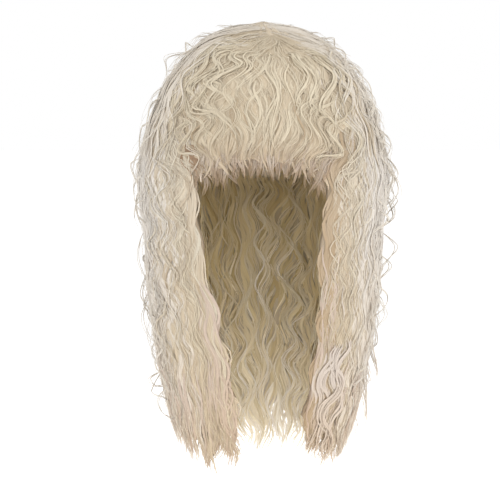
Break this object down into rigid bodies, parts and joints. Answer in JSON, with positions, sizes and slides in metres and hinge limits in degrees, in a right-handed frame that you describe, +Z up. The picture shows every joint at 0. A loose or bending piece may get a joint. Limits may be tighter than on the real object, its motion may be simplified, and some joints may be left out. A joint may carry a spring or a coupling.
{
  "type": "curly wig",
  "caption": "Long wig of pale blonde curled hair with a straight-cut fringe, side falls that frame an open face, and a back fall, all carried on a thin hollow cap.",
  "frame": {"origin": "inside top of the cap, where the top of the head bears", "axes": "+Z up, the face opening towards -Y, the wearer's left towards +X"},
  "size_m": [0.2471, 0.2405, 0.4399],
  "materials": {
    "cap": "matte stretch net",
    "crown_hair": "satin curled fibre",
    "fringe_hair": "satin curled fibre",
    "side_hair": "satin curled fibre",
    "back_hair": "satin curled fibre"
  },
  "bodies": {
    "root": {"wig_cap": "cap", "crown_hair": "crown_hair", "fringe": "fringe_hair", "right_fall": "side_hair", "left_fall": "side_hair", "back_fall": "back_hair"}
  },
  "joints": []
}
